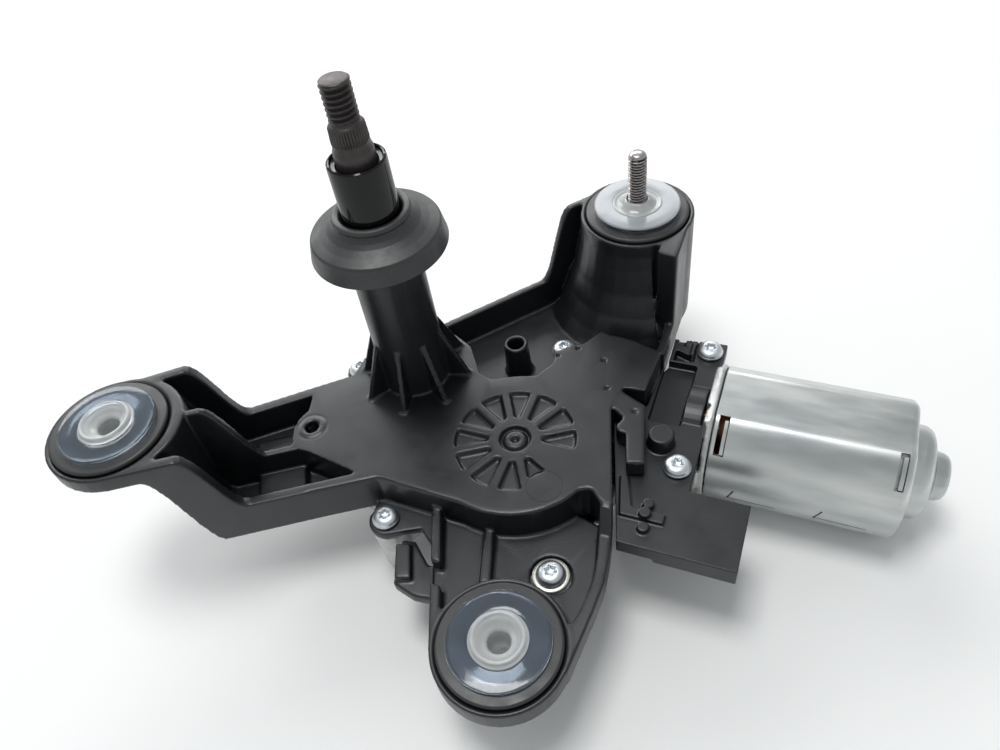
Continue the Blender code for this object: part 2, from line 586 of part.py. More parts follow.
def crank_pin_place():
    """Where the crank pin stands with the output shaft in mid sweep."""
    pin = Vector((GUIDE * math.cos(GUIDE_ANGLE), GUIDE * math.sin(GUIDE_ANGLE)))
    line = (pin - Vector(WHEEL)).normalized()
    return tuple(Vector(WHEEL) + Vector((-line.y, line.x)) * CRANK_R)


# ---- worm drive ---------------------------------------------------------------------------
LEAD = TOOTH / (2 * math.pi * WORM_PITCH)      # slope of the worm thread at its pitch radius


def make_worm_wheel():
    low, high = -20.0, -14.8
    teeth = toothed(WHEEL_PITCH, WHEEL_TEETH, 90 + 180 / WHEEL_TEETH, WHEEL_TEETH, 0.6, 1.0, 1.45, 0.3)
    wheel = prism(teeth, low, high)
    for vert in wheel.verts:
        twist = LEAD * (vert.co.z / MM - MOTOR_Z) / WHEEL_PITCH
        vert.co.xy = Matrix.Rotation(twist, 2) @ vert.co.xy
    bmesh.ops.triangulate(wheel, faces=wheel.faces)
    obj = node("worm_wheel", moved(wheel, *WHEEL), NYLON, (*WHEEL, 0))
    crank = crank_pin_place()
    dx, dy = crank[0] - WHEEL[0], crank[1] - WHEEL[1]
    cuts = [turned([(13.5, -16.6), (25.0, -16.6), (25.0, -10), (13.5, -10)], 32),
            turned([(9.0, -24), (25.0, -24), (25.0, -18.4), (9.0, -18.4)], 32),
            prism(circle((0, 0), 2.5, 16), -30, 0), prism(circle((dx, dy), 3.3, 20), -18.6, 0)]
    boolean(obj, [moved(cut, *WHEEL) for cut in cuts], "DIFFERENCE")
    pin = turned([(0, -18.3), (3.0, -18.3), (3.0, -12.0), (2.6, -11.7), (0, -11.7)], 20)
    node("crank_pin", moved(pin, *crank), STEEL, (*WHEEL, 0))
    axle = turned([(0, -34), (2.2, -34), (2.2, -14.2), (1.8, -13.8), (0, -13.8)], 20)
    node("wheel_axle", moved(axle, *WHEEL), STEEL)


def worm_thread(start, turns, steps=10):
    """The helical thread of the worm, made about Z and tapering into the shaft at its ends."""
    bm = bmesh.new()
    loops = []
    total = int(turns * steps)
    for i in range(total + 1):
        angle = 2 * math.pi * i / steps
        fade = min(1.0, i / steps * 2, (total - i) / steps * 2)
        tip = 2.3 + (WORM_PITCH + 0.7 - 2.3) * fade
        loop = []
        for radius, offset in ((1.7, -1.05), (tip, -0.48), (tip, 0.48), (1.7, 1.05)):
            x, y = radius * math.cos(angle), radius * math.sin(angle)
            z = start + TOOTH * i / steps + offset
            loop.append(bm.verts.new(Vector((x, y, z)) * MM))
        loops.append(loop)
    for one, two in zip(loops, loops[1:]):
        for k in range(4):
            bm.faces.new((one[k], one[(k + 1) % 4], two[(k + 1) % 4], two[k]))
    bm.faces.new(loops[0])
    bm.faces.new(loops[-1])
    bmesh.ops.triangulate(bm, faces=bm.faces)
    bmesh.ops.recalc_face_normals(bm, faces=bm.faces)
    return bm


def make_armature():
    pivot = (0, MOTOR_Y, MOTOR_Z)
    shaft = [(0, 25.6), (1.8, 25.6), (2.2, 26.0), (2.2, 57), (2.9, 58), (2.9, 160), (0, 160)]
    obj = node("armature_shaft", along_x(turned(shaft, 24)), STEEL, pivot)
    turns = 5
    thread = along_x(worm_thread(WHEEL[0] - TOOTH * (turns / 2 + 0.25), turns))
    boolean(obj, [thread], "UNION")

    commutator = node("commutator", along_x(turned([(3.2, 86.2), (7.0, 86.2), (7.0, 93.4), (3.2, 93.4)], 24)),
                      COPPER, pivot)
    slots = []
    for k in range(8):
        slots.append(along_x(moved(prism(box(6.4, 8.0, -0.3, 0.3), 85, 95), turn=45 * k)))
    boolean(commutator, slots, "DIFFERENCE")

    outline = []
    for k in range(8):
        middle = 45 * k
        outline += arc((0, 0), 8.6, middle - 12.5, middle - 8.0, 1)
        outline += arc((0, 0), 15.3, middle - 17.5, middle + 17.5, 4)
        outline += arc((0, 0), 8.6, middle + 8.0, middle + 12.5, 1)
    core = node("armature_core", along_x(prism(outline, 104, 138)), STEEL, pivot)
    bore = along_x(prism(circle((0, 0), 3.2, 20), 100, 140))
    boolean(core, [bore], "DIFFERENCE")

    ring = [(4.2, 98.5), (6, 97), (11.5, 97), (13.6, 99), (13.6, 103.7), (4.2, 103.7)]
    end = [(4.2, 138.3), (13.6, 138.3), (13.6, 143), (11.5, 145), (6, 145), (4.2, 143.5)]
    windings = node("armature_windings", along_x(turned(ring, 24)), COPPER, pivot)
    bars = [along_x(turned(end, 24))]
    for k in range(8):
        bars.append(along_x(moved(prism([(9.6, -1.1), (13.2, -1.2), (13.2, 1.2), (9.6, 1.1)], 103, 139),
                                  turn=45 * k + 22.5)))
    boolean(windings, bars, "UNION")


# ---- motor body ---------------------------------------------------------------------------
def make_motor():
    can = node("motor_can", along_x(prism(can_outline(CAN_R, CAN_FLAT), CAN_START, CAN_END)), ZINC)
    nose = [(0, 148), (14.0, 148), (14.0, 155.4), (12.8, 156.5), (6.4, 156.6), (6.2, 160.9), (5.4, 162),
            (0, 162)]
    boolean(can, [along_x(turned(nose, 32))], "UNION")
    hollow = along_x(prism(can_outline(CAN_R - 1.2, CAN_FLAT - 1.2), 90, CAN_END - 1.2))
    cup = along_x(turned([(0, 140), (12.8, 140), (12.8, 155.3), (5.1, 155.4), (5.1, 160.8), (0, 160.8)], 32))
    boolean(can, [hollow, cup], "DIFFERENCE")
    for name, start, end in (("rear_bearing", 156.9, 159.6), ("front_bearing", 76.6, 80.2)):
        profile = [(3.2, start), (4.8, start), (4.8, end), (3.2, end)]
        node(name, along_x(turned(profile, 24)), BRONZE)
    node("thrust_pad", along_x(turned([(0, 23.8), (3.8, 23.8), (3.8, 25.3), (0, 25.3)], 20)), NYLON)
    for name, side in (("magnet_front", 180), ("magnet_rear", 0)):
        shell = arc((0, 0), 19.2, 90 + side - 56, 90 + side + 56, 12)
        shell += arc((0, 0), 16.0, 90 + side + 56, 90 + side - 56, 12)
        node(name, along_x(prism(shell, 101, 141)), FERRITE)

    holder = node("brush_holder", along_x(prism(circle((0, 0), 10.2, 28), 87.2, 88.4)), BROWN)
    wings = [prism(box(87.2, 93.0, MOTOR_Y - 15.6, MOTOR_Y + 15.6), MOTOR_Z - 4.2, MOTOR_Z - 2.6)]
    boolean(holder, wings, "UNION")
    boolean(holder, [along_x(prism(circle((0, 0), 7.6, 28), 80, 99))], "DIFFERENCE")
    for name, side in (("front", -1), ("rear", 1)):
        near, far = sorted((MOTOR_Y + side * 7.4, MOTOR_Y + side * 12.0))
        node("brush_" + name, prism(box(88.8, 92.8, near, far), MOTOR_Z - 2.2, MOTOR_Z + 2.2), FERRITE)
        near, far = sorted((MOTOR_Y + side * 12.3, MOTOR_Y + side * 15.6))
        spring = prism(box(89.4, 92.2, near, far), MOTOR_Z - 1.4, MOTOR_Z + 1.4)
        node("brush_spring_" + name, spring, STEEL)


# ---- brush card and connector -------------------------------------------------------------
def make_card():
    outline = [(77.8, -38.9), (110.6, -38.9), (110.6, -17.2), (93.5, -17.2), (93.5, 42.6), (76.4, 41.2),
               (76.6, 30.2), (75.4, 27.4), (74.3, 10.3), (67.5, 9.9), (65.7, 2.6), (75.6, -31.2),
               (76.9, -35.5)]
    low = -11.5
    card = node("connector_housing", prism(outline, low, CARD_TOP), PLASTIC)
    block = prism(box(88, 110.6, -38.9, -17.2), -13.0, low + 1)
    arch = arc((0, 0), 12.8, 128, 232, 14) + arc((0, 0), 10.6, 232, 128, 14)
    saddle = along_x(prism(arch, 86, 91.7))
    cap = moved(turned([(0, -8), (4.2, -8), (3.8, -1.7), (3.4, -1.4), (0, -1.4)], 24), 81.9, -2.9)
    rib = [prism([(73.4, -17.7), (75.8, -17.7), (79.2, -27.4), (88.9, -27.4), (88.9, -30.6), (76.6, -30.6)],
                 -8, -5.4), prism(box(82.6, 83.8, 32, 40), -8, -5.7)]
    pegs = [moved(turned([(0, -8), (1.7, -8), (1.7, z), (0, z)], 14), x, y)
            for x, y, z in ((83.6, -25.6, -4.2), (83.9, -33.1, -4.8), (83.4, -29.0, -3.9))]
    boolean(card, [block, cap] + rib + pegs, "UNION")
    recess = prism(rounded(box(75.8, 85.9, 5.0, 30.8), 1, 2), -9.3, 0)
    notch = prism([(77.8, 31.6), (83.4, 31.6), (83.4, 34.5), (77.8, 36.5)], -9.3, 0)
    boolean(card, [recess, notch], "DIFFERENCE")
    boolean(card, [saddle], "UNION")
    channel = along_x(turned([(0, 85.4), (10.6, 85.4), (10.6, 95), (0, 95)], 36))
    socket = prism(box(92, 112, -36.6, -19.5), -12.1, -7.6)
    cuts = [channel, socket, prism(box(79, 91.5, -14.5, 2.5), -14, -9.2)]
    for name, (x, y, seat) in SCREWS.items():
        if name.startswith("motor_screw"):
            cuts.append(prism(circle((x, y), 2.4, 16), -20, 0))
    for k in range(4):
        y = -34.0 + 4.0 * k
        cuts.append(prism(box(89.3, 93, y - 1.4, y + 1.4), -10.4, -9.2))
    boolean(card, cuts, "DIFFERENCE")
    for k in range(4):
        y = -34.0 + 4.0 * k
        node(f"connector_terminal_{k + 1}", prism(box(89.6, 103.5, y - 1.1, y + 1.1), -10.1, -9.5), ZINC)


# ---- eyes and fasteners -------------------------------------------------------------------
def make_eye_fittings():
    for name, (x, y, rim) in EYES.items():
        grommet = [(6.4, -8.6), (14.4, -8.6), (15.2, -7.8), (15.2, -5.8), (12.3, -5.8), (12.3, -3.2),
                   (15.9, -3.2), (15.9, -0.4), (14.6, 1.1), (6.4, 1.1)]
        node(f"grommet_{name}", moved(turned(grommet, 30), x, y, rim), RUBBER)
        bush = [(3.4, -10.0), (6.1, -10.0), (6.1, 1.4), (13.3, 1.4), (13.9, 1.8), (13.9, 2.3), (13.6, 2.6),
                (8.0, 2.6), (6.9, 3.9), (6.2, 3.9), (4.6, 2.6), (3.4, 2.0)]
        node(f"bush_{name}", moved(turned(bush, 30), x, y, rim), NYLON)
    x, y, rim = EYES["rear"]
    stud = [(0, -13.5), (6.2, -13.5), (6.2, -10.3), (2.95, -10.3), (2.95, 20.6), (2.2, 22.0), (0, 22.0)]
    node("mounting_stud", moved(turned(stud, 24), x, y, rim), STEEL)


def make_screws():
    for name, (x, y, seat) in SCREWS.items():
        head = [(0, -12.5), (1.6, -12.5), (2.1, -11.8), (2.1, GAP), (4.0, GAP), (4.1, 1.4), (3.2, 2.7),
                (1.9, 3.0), (1.8, 1.7), (0, 1.7)]
        node(name, moved(turned(head, 16), x, y, seat), ZINC)


# ---- materials and assembly ---------------------------------------------------------------
clear_scene()
frame = bpy.data.objects.new("cover_frame", None)
bpy.context.scene.collection.objects.link(frame)
frame.location = Vector((-CENTRE[0], -CENTRE[1], -REST)) * MM

PLASTIC = material("black_plastic", (0.035, 0.037, 0.04), 0.5)
GLOSS = material("gloss_black_plastic", (0.02, 0.02, 0.022), 0.15)
RUBBER = material("black_rubber", (0.03, 0.031, 0.032), 0.75)
NYLON = material("natural_nylon", (0.75, 0.78, 0.8), 0.3)
ALUMINIUM = material("cast_aluminium", (0.55, 0.56, 0.57), 0.45, 1.0)
ZINC = material("zinc_plated_steel", (0.7, 0.72, 0.73), 0.3, 1.0)
STEEL = material("steel", (0.5, 0.49, 0.47), 0.35, 1.0)
DARK_STEEL = material("phosphated_steel", (0.12, 0.1, 0.095), 0.45, 0.8)
BRONZE = material("sintered_bronze", (0.55, 0.38, 0.2), 0.5, 1.0)
COPPER = material("copper", (0.7, 0.33, 0.18), 0.35, 1.0)
FERRITE = material("ferrite", (0.06, 0.06, 0.062), 0.6)
BROWN = material("phenolic_brown", (0.16, 0.08, 0.035), 0.6)

make_bracket()
make_housing()
make_spindle()
make_output_gears()
make_worm_wheel()
make_armature()
make_motor()
make_card()
make_eye_fittings()
make_screws()
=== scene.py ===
"""Looks of the rear wiper motor assembly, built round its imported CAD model.

Shapes are written in millimetres in the cover frame: the spindle's axis is X = Y = 0, the
gear cover's top face is Z = 0 and the motor lies along +X. ROW takes a mesh into the row frame.
"""
import json
import math

import bmesh
import bpy
import numpy as np
from mathutils import Matrix, Vector


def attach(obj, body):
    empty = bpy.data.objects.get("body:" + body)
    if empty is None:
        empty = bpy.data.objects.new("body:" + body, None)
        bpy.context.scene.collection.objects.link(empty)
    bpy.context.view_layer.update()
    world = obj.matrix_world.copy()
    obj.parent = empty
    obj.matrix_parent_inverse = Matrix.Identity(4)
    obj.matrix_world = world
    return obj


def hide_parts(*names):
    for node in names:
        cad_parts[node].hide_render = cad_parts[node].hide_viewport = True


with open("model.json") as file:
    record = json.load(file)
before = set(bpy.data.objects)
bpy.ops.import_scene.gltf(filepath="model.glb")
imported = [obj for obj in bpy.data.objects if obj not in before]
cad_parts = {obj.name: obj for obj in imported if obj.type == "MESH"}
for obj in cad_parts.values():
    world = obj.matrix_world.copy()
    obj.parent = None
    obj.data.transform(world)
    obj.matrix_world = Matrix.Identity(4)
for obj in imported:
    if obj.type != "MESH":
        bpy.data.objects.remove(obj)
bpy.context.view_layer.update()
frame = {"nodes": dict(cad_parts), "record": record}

ROW = Matrix.Scale(0.001, 4) @ Matrix.Translation((-40.35, 6.5, 35.5))

WHEEL = (40.9, -17.4)
MOTOR_Y, MOTOR_Z = 14.4, -16.6
CAN_RADIUS, CAN_FLAT = 20.8, 18.6
FLOOR, BASE = -11.2, -14.2
EYES = {"left": (-62.8, -63.0, 25.5), "rear": (57.4, 63.2, 27.0), "front": (57.5, -76.2, -6.0)}
CARD_TOP = -6.5
SCREWS = {
    "cover_screw_front_left": (9.9, -48.6, FLOOR),
    "cover_screw_front_right": (62.9, -51.7, FLOOR),
    "cover_screw_rear": (40.4, 30.6, FLOOR),
    "cover_screw_left": (-26.0, 4.0, FLOOR),
    "motor_screw_rear": (88.6, 37.6, CARD_TOP),
    "motor_screw_front": (88.4, -10.4, CARD_TOP),
}
PIN_BOSS = (-22.7, -30.6)
EAR = (70.8, -4.2)
EJECTOR_PITS = ((48.2, 23.2), (42.8, 18.5), (57.8, 20.1), (62.0, 8.9), (72.5, 2.2), EAR)
WITNESS_RING = (54.8, -31.2)


# ---- mesh tools -----------------------------------------------------------------------------
def arc(centre, radius, start, end, steps):
    points = []
    for i in range(steps + 1):
        a = math.radians(start + (end - start) * i / steps)
        points.append((centre[0] + radius * math.cos(a), centre[1] + radius * math.sin(a)))
    return points


def circle(centre, radius, steps=32):
    return arc(centre, radius, 0, 360 * (steps - 1) / steps, steps - 1)


def box(x0, x1, y0, y1):
    return [(x0, y0), (x1, y0), (x1, y1), (x0, y1)]


def rounded(points, radius, steps=4):
    """An outline, or a turned profile, with each corner replaced by an arc."""
    result = []
    for i, here in enumerate(points):
        p = Vector(here)
        a = Vector(points[i - 1]) - p
        b = Vector(points[(i + 1) % len(points)]) - p
        reach = min(radius, 0.45 * a.length, 0.45 * b.length)
        start, end = p + a.normalized() * reach, p + b.normalized() * reach
        for k in range(steps + 1):
            t = k / steps
            result.append(tuple(start * (1 - t) ** 2 + p * 2 * t * (1 - t) + end * t * t))
    return result


def prism(points, low, high):
    bm = bmesh.new()
    bottom = [bm.verts.new((x, y, low)) for x, y in points]
    top = [bm.verts.new((x, y, high)) for x, y in points]
    bm.faces.new(bottom)
    bm.faces.new(top)
    for i in range(len(points)):
        j = (i + 1) % len(points)
        bm.faces.new((bottom[i], bottom[j], top[j], top[i]))
    bmesh.ops.recalc_face_normals(bm, faces=bm.faces)
    return bm


def turned(profile, steps=64, shape=None):
    """A solid turned about Z from a closed profile; shape(radius, z, angle) may vary the radius."""
    bm = bmesh.new()
    rings = []
    for r, z in profile:
        if r == 0:
            rings.append([bm.verts.new((0, 0, z))] * steps)
            continue
        ring = []
        for k in range(steps):
            a = 2 * math.pi * k / steps
            radius = shape(r, z, a) if shape else r
            ring.append(bm.verts.new((radius * math.cos(a), radius * math.sin(a), z)))
        rings.append(ring)
    for i in range(len(rings)):
        first, second = rings[i], rings[(i + 1) % len(rings)]
        for k in range(steps):
            corners = [first[k], first[(k + 1) % steps], second[(k + 1) % steps], second[k]]
            corners = list(dict.fromkeys(corners))
            if len(corners) > 2:
                bm.faces.new(corners)
    bmesh.ops.recalc_face_normals(bm, faces=bm.faces)
    return bm


def moved(bm, x=0.0, y=0.0, z=0.0, turn=0.0):
    bmesh.ops.rotate(bm, verts=bm.verts, matrix=Matrix.Rotation(math.radians(turn), 3, "Z"))
    bmesh.ops.translate(bm, verts=bm.verts, vec=Vector((x, y, z)))
    return bm


def cad(node):
    """A welded copy of a CAD node, in the cover frame."""
    bm = bmesh.new()
    bm.from_mesh(frame["nodes"][node].data)
    bm.transform(ROW.inverted())
    bmesh.ops.remove_doubles(bm, verts=bm.verts, dist=0.002)
    bmesh.ops.recalc_face_normals(bm, faces=bm.faces)
    return bm


def as_object(name, solids):
    """One object, still in the cover frame, from solids that may overlap."""
    whole = bmesh.new()
    for solid in solids:
        part = bpy.data.meshes.new("part")
        solid.to_mesh(part)
        solid.free()
        whole.from_mesh(part)
        bpy.data.meshes.remove(part)
    mesh = bpy.data.meshes.new(name)
    whole.to_mesh(mesh)
    whole.free()
    obj = bpy.data.objects.new(name, mesh)
    bpy.context.scene.collection.objects.link(obj)
    return obj


def apply_modifiers(obj):
    depsgraph = bpy.context.evaluated_depsgraph_get()
    mesh = bpy.data.meshes.new_from_object(obj.evaluated_get(depsgraph))
    obj.modifiers.clear()
    obj.data = mesh


def cut(obj, solids, operation="DIFFERENCE"):
    """Cut solids out of an object, or join them to it, while its mesh is still clean."""
    tools = [as_object("tool", [solid]) for solid in solids]
    for tool in tools:
        mod = obj.modifiers.new("cut", "BOOLEAN")
        mod.operation = operation
        mod.solver = "EXACT"
        mod.object = tool
    apply_modifiers(obj)
    for tool in tools:
        bpy.data.objects.remove(tool, do_unlink=True)


def moulded(obj, voxel, passes, keep, edges=()):
    """Fuse the solids of an object and soften every edge and corner, as a mould does.

    edges are lines of points, each with the reach around it that gets a wider rounding.
    """
    skin = obj.modifiers.new("skin", "REMESH")
    skin.mode = "VOXEL"
    skin.voxel_size = voxel
    if edges:
        apply_modifiers(obj)
        group = obj.vertex_groups.new(name="edge")
        for line, reach in edges:
            group.add(near_line(obj, line, reach), 1.0, "REPLACE")
        wide = obj.modifiers.new("wide", "SMOOTH")
        wide.factor = 0.5
        wide.iterations = 24
        wide.vertex_group = "edge"
    soften = obj.modifiers.new("soften", "SMOOTH")
    soften.factor = 0.5
    soften.iterations = passes
    lighten = obj.modifiers.new("lighten", "DECIMATE")
    lighten.ratio = keep
    apply_modifiers(obj)


def near_line(obj, line, reach):
    """The vertices of an object within reach of a line of points."""
    places = np.empty(len(obj.data.vertices) * 3)
    obj.data.vertices.foreach_get("co", places)
    places = places.reshape(-1, 3)
    near = np.zeros(len(places), dtype=bool)
    for start, end in zip(line, line[1:]):
        a, run = np.array(start), np.array(end) - np.array(start)
        along = np.clip((places - a) @ run / (run @ run), 0, 1)
        near |= np.linalg.norm(places - a - along[:, None] * run, axis=1) < reach
    return np.flatnonzero(near).tolist()


def place(obj, body, slot, mat, *nodes, smooth=180.0):
    """Put a finished piece in the row frame, on its body, in place of its CAD nodes."""
    obj.data.transform(ROW)
    obj.data.materials.clear()
    obj.data.materials.append(mat)
    obj.data.shade_smooth()
    if smooth < 180:
        obj.data.set_sharp_from_angle(angle=math.radians(smooth))
    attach(obj, body)
    if nodes:
        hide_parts(*nodes)
    return obj


def piece(name, solids, body, slot, mat, *nodes, smooth=35.0):
    """A finished piece made of solids as they are, with nothing softened."""
    return place(as_object(name, solids), body, slot, mat, *nodes, smooth=smooth)


def shade_thread_roots(obj, x, y, radius, low, high, mat):
    """Darken the faces of a thread within radius of its axis: painted shade in the thread's roots.
    """
    axis = ROW @ Vector((x, y, low))
    top = (ROW @ Vector((x, y, high))).z
    obj.data.materials.append(mat)
    for face in obj.data.polygons:
        off_axis = math.hypot(face.center.x - axis.x, face.center.y - axis.y)
        if off_axis < radius / 1000 and axis.z < face.center.z < top:
            face.material_index = 1


# ---- finishes -------------------------------------------------------------------------------
def finish(name, colour, rough, metal=0.0, vary=(60, 0.1), stain=None, grain=(2600, 0.1),
           dust=0.0, stretch=(1, 1, 1), rough_vary=0.08, **sockets):
    """A procedural finish: mottled colour and gloss, fine grain, and a little dust.

    vary and grain are each a noise scale and a strength, stain is the colour of the lighter
    patches, and sockets are plain values for the shader's other inputs.
    """
    mat = bpy.data.materials.new(name)
    mat.use_nodes = True
    tree = mat.node_tree
    shader = tree.nodes["Principled BSDF"]
    shader.inputs["Metallic"].default_value = metal
    for key, value in sockets.items():
        shader.inputs[key.replace("_", " ")].default_value = value

    def new(kind, **values):
        node = tree.nodes.new(kind)
        for key, value in values.items():
            node.inputs[key].default_value = value
        return node

    coords = tree.nodes.new("ShaderNodeTexCoord")
    mapping = new("ShaderNodeMapping", Scale=stretch)
    tree.links.new(coords.outputs["Object"], mapping.inputs["Vector"])

    def noise(scale, detail=3.0, roughness=0.55):
        node = new("ShaderNodeTexNoise", Scale=scale, Detail=detail, Roughness=roughness)
        tree.links.new(mapping.outputs["Vector"], node.inputs["Vector"])
        return node.outputs["Fac"]

    def span(value, low, high, start=0.3, end=0.7):
        node = tree.nodes.new("ShaderNodeMapRange")
        node.inputs["From Min"].default_value = start
        node.inputs["From Max"].default_value = end
        node.inputs["To Min"].default_value = low
        node.inputs["To Max"].default_value = high
        tree.links.new(value, node.inputs["Value"])
        return node.outputs["Result"]

    def mix(factor, first, second):
        node = tree.nodes.new("ShaderNodeMix")
        node.data_type = "RGBA"
        for socket, value in ((node.inputs["Factor"], factor), (node.inputs["A"], first),
                              (node.inputs["B"], second)):
            if isinstance(value, (tuple, float)):
                socket.default_value = value
            else:
                tree.links.new(value, socket)
        return node.outputs["Result"]

    patches = noise(vary[0])
    dark = tuple(c * (1 - vary[1]) for c in colour) + (1.0,)
    light = tuple(min(1.0, c * (1 + vary[1])) for c in (stain or colour)) + (1.0,)
    paint = mix(span(patches, 0.0, 1.0), dark, light)
    gloss = span(noise(vary[0] * 2.3, 4.0), rough - rough_vary, rough + rough_vary)
    if dust:
        specks = span(noise(1500, 2.0, 0.7), 0.0, 1.0, 0.68, 0.74)
        where = span(noise(35, 2.0), 0.0, dust, 0.35, 0.75)
        amount = tree.nodes.new("ShaderNodeMath")
        amount.operation = "MULTIPLY"
        tree.links.new(specks, amount.inputs[0])
        tree.links.new(where, amount.inputs[1])
        paint = mix(amount.outputs["Value"], paint, (0.35, 0.34, 0.32, 1.0))
    tree.links.new(paint, shader.inputs["Base Color"])
    tree.links.new(gloss, shader.inputs["Roughness"])
    bump = new("ShaderNodeBump", Strength=grain[1], Distance=0.0004)
    tree.links.new(noise(grain[0], 2.0), bump.inputs["Height"])
    tree.links.new(bump.outputs["Normal"], shader.inputs["Normal"])
    return mat


LOOKS = {
    "black_plastic": finish(
        "satin_black_plastic", (0.0055, 0.007, 0.009), 0.37, vary=(45, 0.14), grain=(2400, 0.08),
        dust=0.1, rough_vary=0.05, Specular_IOR_Level=0.62),
    "gloss_black_plastic": finish(
        "gloss_black_plastic", (0.003, 0.003, 0.003), 0.08, vary=(30, 0.1), grain=(700, 0.02),
        rough_vary=0.03, Specular_IOR_Level=0.32),
    "black_rubber": finish(
        "black_rubber", (0.0145, 0.015, 0.016), 0.44, vary=(70, 0.15), grain=(1800, 0.1),
        dust=0.25, Specular_IOR_Level=0.7),
    "natural_nylon": finish(
        "natural_nylon", (0.70, 0.80, 0.92), 0.06, vary=(120, 0.06), grain=(500, 0.02),
        rough_vary=0.03, Transmission_Weight=0.985, IOR=1.5),
    "cast_aluminium": finish(
        "cast_aluminium", (0.58, 0.59, 0.58), 0.46, 1.0, vary=(160, 0.2), grain=(1300, 0.35)),
    "zinc_plated_steel": finish(
        "zinc_plated_steel", (0.66, 0.70, 0.73), 0.4, 1.0, vary=(200, 0.08), grain=(900, 0.05),
        rough_vary=0.06),
    "steel": finish(
        "machined_steel", (0.55, 0.54, 0.52), 0.32, 1.0, vary=(150, 0.1), grain=(1500, 0.08)),
    "phosphated_steel": finish(
        "phosphated_steel", (0.062, 0.053, 0.052), 0.42, 0.6, vary=(260, 0.2),
        grain=(1900, 0.15)),
    "sintered_bronze": finish(
        "sintered_bronze", (0.55, 0.38, 0.2), 0.5, 1.0, vary=(300, 0.2), grain=(1700, 0.3)),
    "copper": finish(
        "enamelled_copper", (0.70, 0.32, 0.17), 0.34, 1.0, vary=(250, 0.15), grain=(1200, 0.4),
        stretch=(0.2, 1, 1)),
    "ferrite": finish(
        "ferrite", (0.06, 0.06, 0.062), 0.6, vary=(200, 0.15), grain=(2000, 0.2)),
    "phenolic_brown": finish(
        "phenolic_brown", (0.16, 0.08, 0.035), 0.6, vary=(140, 0.2), grain=(1500, 0.2)),
}
CAN = finish("galvanised_can", (0.50, 0.53, 0.54), 0.36, 1.0, vary=(60, 0.18),
             stain=(0.62, 0.63, 0.61), grain=(420, 0.06), stretch=(0.35, 1.4, 1.4))
CUP = finish("clear_nylon_cup", (0.88, 0.90, 0.90), 0.1, vary=(200, 0.05), grain=(420, 0.12),
             rough_vary=0.05, Transmission_Weight=0.58, IOR=1.5)
MILKY = finish("milky_nylon_disc", (0.66, 0.70, 0.74), 0.14, vary=(120, 0.05),
               grain=(420, 0.05), rough_vary=0.04, Transmission_Weight=0.6, IOR=1.5)
STUD = finish("plain_steel_thread", (0.40, 0.37, 0.365), 0.3, 1.0, vary=(180, 0.12),
              grain=(1500, 0.05))
# Painted shadow: the dark colour of the strips laid in the can's seam, where its gap falls in
# shade.
SEAM_SHADOW = finish("painted_seam_shadow", (0.05, 0.048, 0.045), 0.7, 0.3, vary=(200, 0.2),
              grain=(1500, 0.2))
# Painted shade for the roots of threads; the ejector witness ring is given the same dark colour.
ROOT_SHADE_AND_DARK_RING = finish("painted_root_shade_and_dark_ring", (0.022, 0.017, 0.016), 0.6, 0.3, vary=(300, 0.2),
               grain=(1500, 0.1))
RING = finish("turned_aluminium_ring", (0.62, 0.62, 0.58), 0.42, 1.0, vary=(90, 0.1),
              grain=(1200, 0.1))


# ---- bracket ---------------------------------------------------------------------------------
# The left arm's own axes: s runs out towards its eye, t across it.
ARM_S, ARM_T = Vector((-0.850, -0.527)), Vector((-0.527, 0.850))


def arm(s, t):
    return tuple(ARM_S * s + ARM_T * t)


def bracket_cuts():
    """The cover's and the eyes' fine recesses: pockets, eye rims, ejector pits and seats."""
    cuts = wedge_pockets()
    for x, y, rim in EYES.values():
        step = [(15.9, rim - 0.7), (17.25, rim - 0.7), (17.25, rim + 1), (15.9, rim + 1)]
        cuts.append(moved(turned(step, 72), x, y))
    pit = [(0, -0.9), (0.75, -0.9), (0.75, 1), (0, 1)]
    cuts += [moved(turned(pit, 16), x, y) for x, y in EJECTOR_PITS]
    halo = [(4.3, -0.5), (5.0, -0.5), (5.0, 1), (4.3, 1)]
    cuts.append(moved(turned(halo, 40), *PIN_BOSS))
    hub_seat = [(0, -1.7), (4.7, -1.7), (4.7, 1), (0, 1)]
    cuts.append(moved(turned(hub_seat, 40), *WHEEL))
    return cuts


